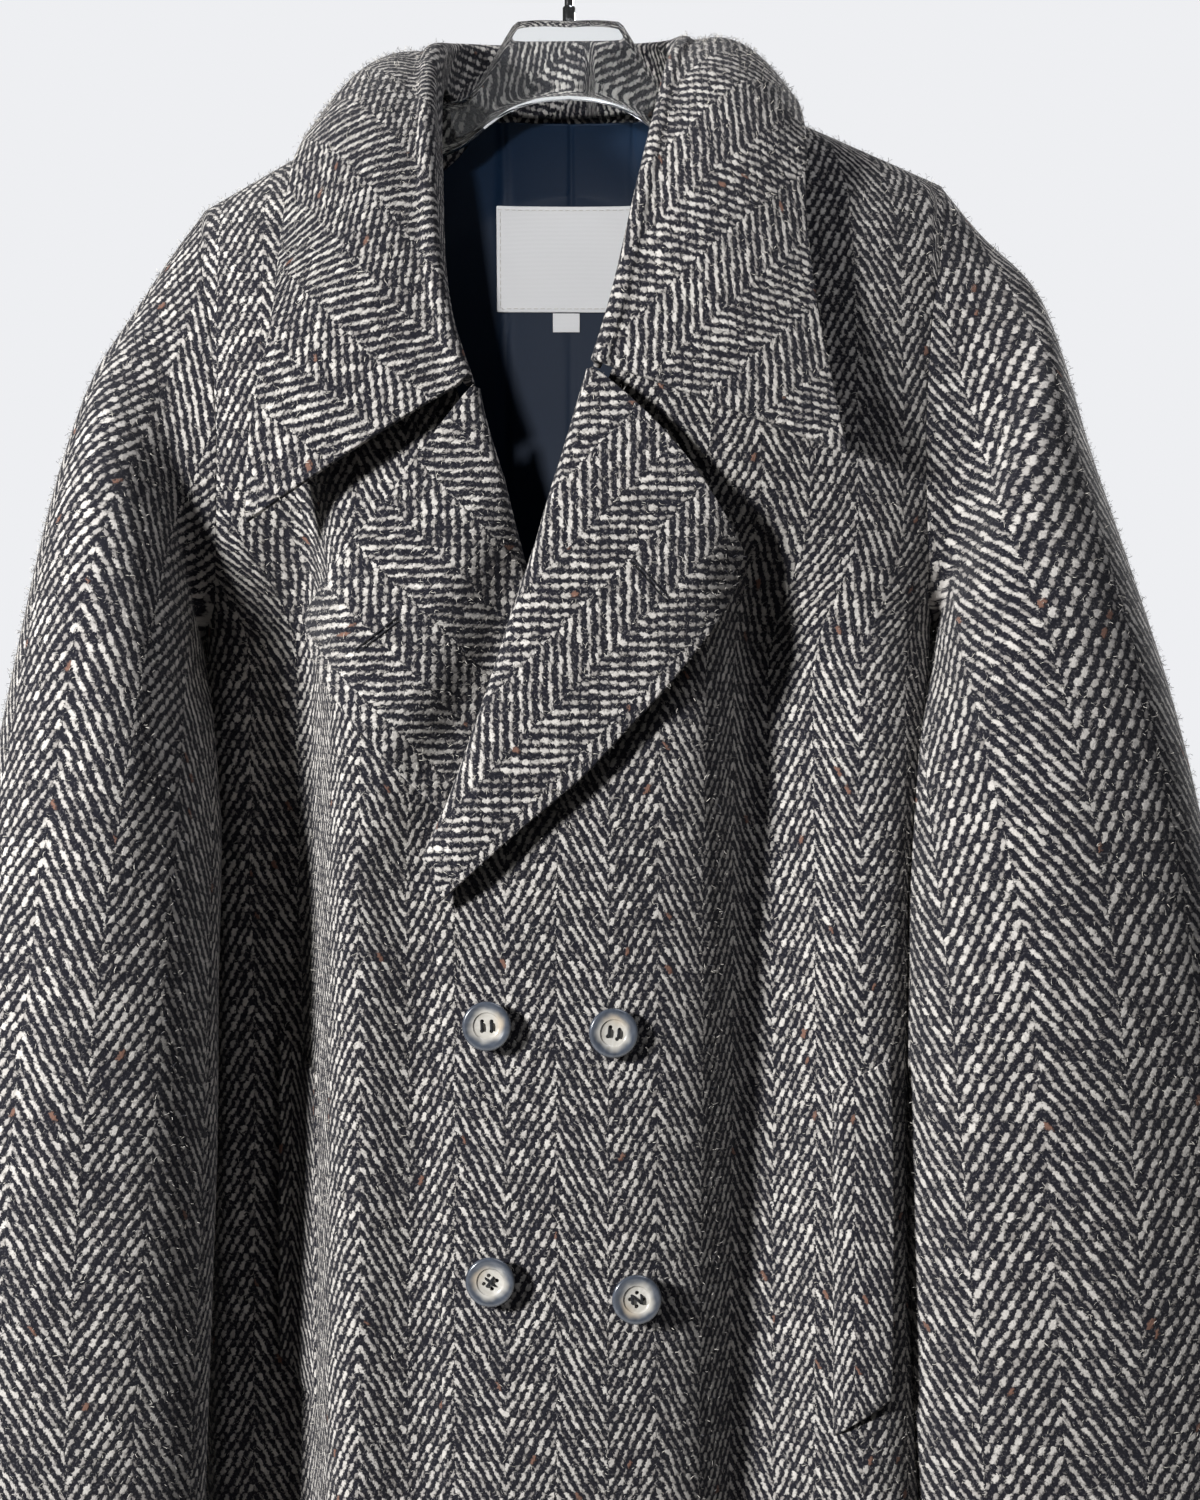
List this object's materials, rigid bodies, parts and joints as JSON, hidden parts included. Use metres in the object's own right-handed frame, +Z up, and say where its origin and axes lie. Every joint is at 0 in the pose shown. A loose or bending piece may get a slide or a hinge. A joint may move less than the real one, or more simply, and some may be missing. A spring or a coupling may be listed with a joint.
{
  "type": "wool overcoat on a hanger",
  "caption": "Double breasted herringbone wool overcoat with wide notched lapels, slanting welt pockets and horn buttons, hung on a clear hanger with a metal hook",
  "frame": {"origin": "inside top of the hanger hook, where a rail holds it", "axes": "+Z up, the coat front faces -Y, the wearer's left is +X"},
  "size_m": [0.726, 0.2503, 1.2455],
  "materials": {
    "tweed": "bold black and cream herringbone wool tweed with a short nap",
    "lining": "dark navy satin weave lining",
    "label": "off white woven tape, bare",
    "horn": "polished grey horn",
    "acrylic": "clear moulded acrylic",
    "chrome": "polished chrome"
  },
  "bodies": {
    "root": {"front_left": "tweed", "front_right": "tweed", "back_left": "tweed", "back_right": "tweed", "sleeve_left_top": "tweed", "sleeve_left_under": "tweed", "sleeve_right_top": "tweed", "sleeve_right_under": "tweed", "collar": "tweed", "lapel_left": "tweed", "lapel_right": "tweed", "welt_left": "tweed", "welt_right": "tweed", "lining": "lining", "label": "label", "size_tab": "label", "button_1": "horn", "button_2": "horn", "button_3": "horn", "button_4": "horn", "hanger": "acrylic", "hanger_hook": "chrome"}
  },
  "joints": []
}
